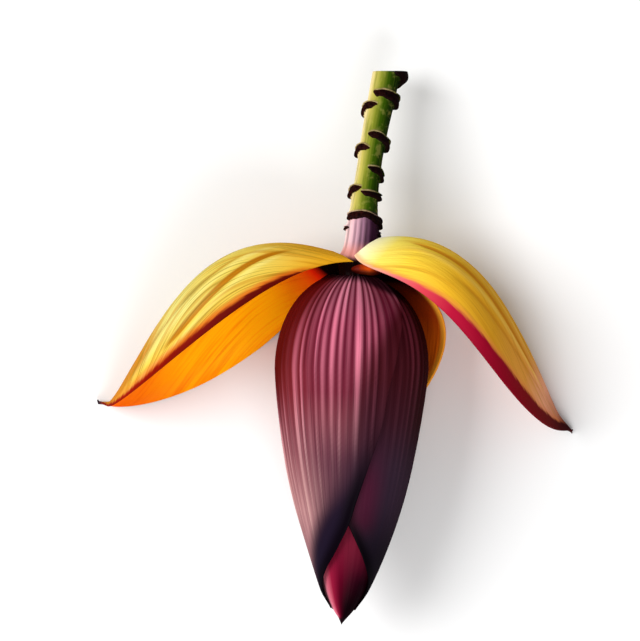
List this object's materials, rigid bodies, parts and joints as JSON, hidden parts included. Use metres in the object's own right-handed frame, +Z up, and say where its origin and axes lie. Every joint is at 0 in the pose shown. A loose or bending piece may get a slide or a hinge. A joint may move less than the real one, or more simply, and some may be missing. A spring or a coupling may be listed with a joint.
{
  "type": "banana blossom",
  "caption": "Banana blossom lying on its side: ribbed plum-coloured bud with raised yellow bracts on a scarred green stalk.",
  "frame": {"origin": "on the table, under the middle of the whole blossom as it lies", "axes": "+Y along the blossom towards the cut stalk, +Z up from the table, +X to the right seen from above with the stalk away from the viewer"},
  "size_m": [0.2823, 0.3326, 0.0983],
  "materials": {
    "stalk_green": "fibrous green stalk with pale green streaks and dark brown scar ledges",
    "cushion_orange": "moist orange-brown plant tissue",
    "bract_yellow": "waxy yellow bract with ochre veins, orange inside and dark red at the margin",
    "bract_gold": "waxy yellow bract with ochre veins and a crimson band along the margin",
    "bract_orange": "waxy bract, orange inside and red-brown outside",
    "bud_plum": "ribbed matt plum skin with a pale bloom, darkening to slate at the tip",
    "bud_slate": "ribbed matt slate-purple skin with a crimson tint",
    "bud_brown": "matt red-brown skin",
    "heart_crimson": "smooth satin crimson skin with a pale edge"
  },
  "bodies": {
    "root": {"rachis": "stalk_green", "flower_cushion": "cushion_orange", "left_bract": "bract_yellow", "right_bract": "bract_gold", "back_bract": "bract_orange", "bud_bract_front": "bud_plum", "bud_bract_right": "bud_slate", "bud_bract_back": "bud_brown", "bud_heart": "heart_crimson"}
  },
  "joints": []
}
